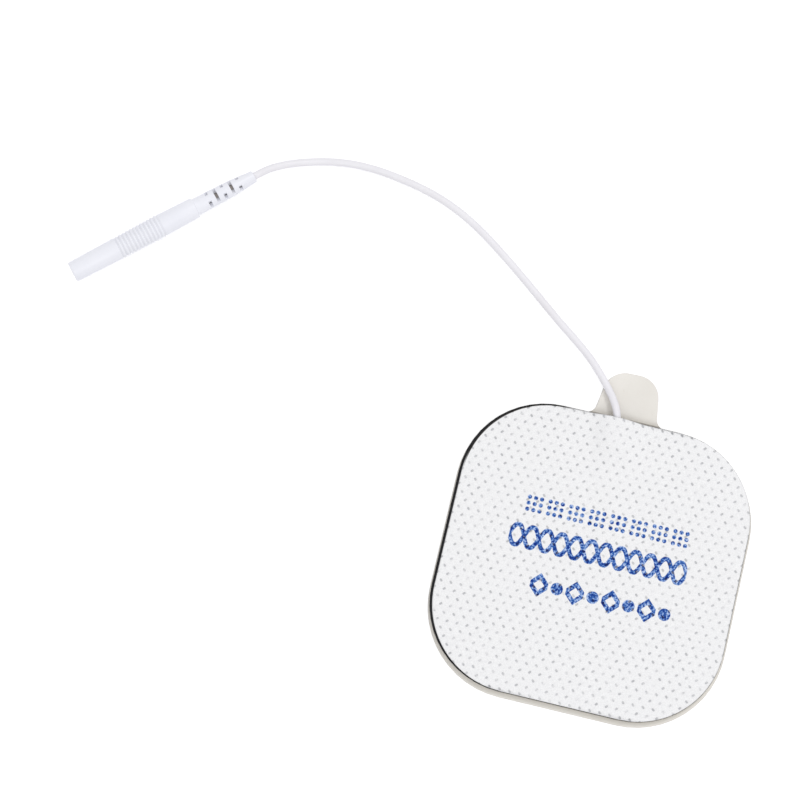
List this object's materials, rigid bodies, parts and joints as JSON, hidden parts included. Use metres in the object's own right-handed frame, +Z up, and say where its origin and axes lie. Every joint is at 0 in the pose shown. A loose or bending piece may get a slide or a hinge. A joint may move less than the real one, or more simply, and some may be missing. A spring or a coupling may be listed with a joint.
{
  "type": "tens electrode pad",
  "caption": "Rounded square self-adhesive electrode pad on its release liner, with a short pigtail lead that ends in a ribbed socket plug.",
  "frame": {"origin": "on the surface that the liner lies on, under the middle of the pad's rounded square", "axes": "+Z up out of the cover, +Y from the pad's middle towards the liner's pull tab, where the lead comes out, +X to the right"},
  "size_m": [0.1241, 0.0847, 0.0041],
  "materials": {
    "cover": "white embossed non-woven",
    "film": "black carbon-filled film",
    "gel": "clear to milky hydrogel",
    "liner": "cream release film",
    "lead": "white insulation",
    "grip": "white moulded plastic",
    "contact": "nickel plated",
    "conductor": "bare fine copper strands"
  },
  "bodies": {
    "root": {"cover_fabric": "cover", "carbon_film": "film", "hydrogel_layer": "gel", "release_liner": "liner", "lead_wire": "lead", "pad_strands": "conductor", "plug_grip": "grip", "socket_contact": "contact", "crimp_strands": "conductor"}
  },
  "joints": []
}
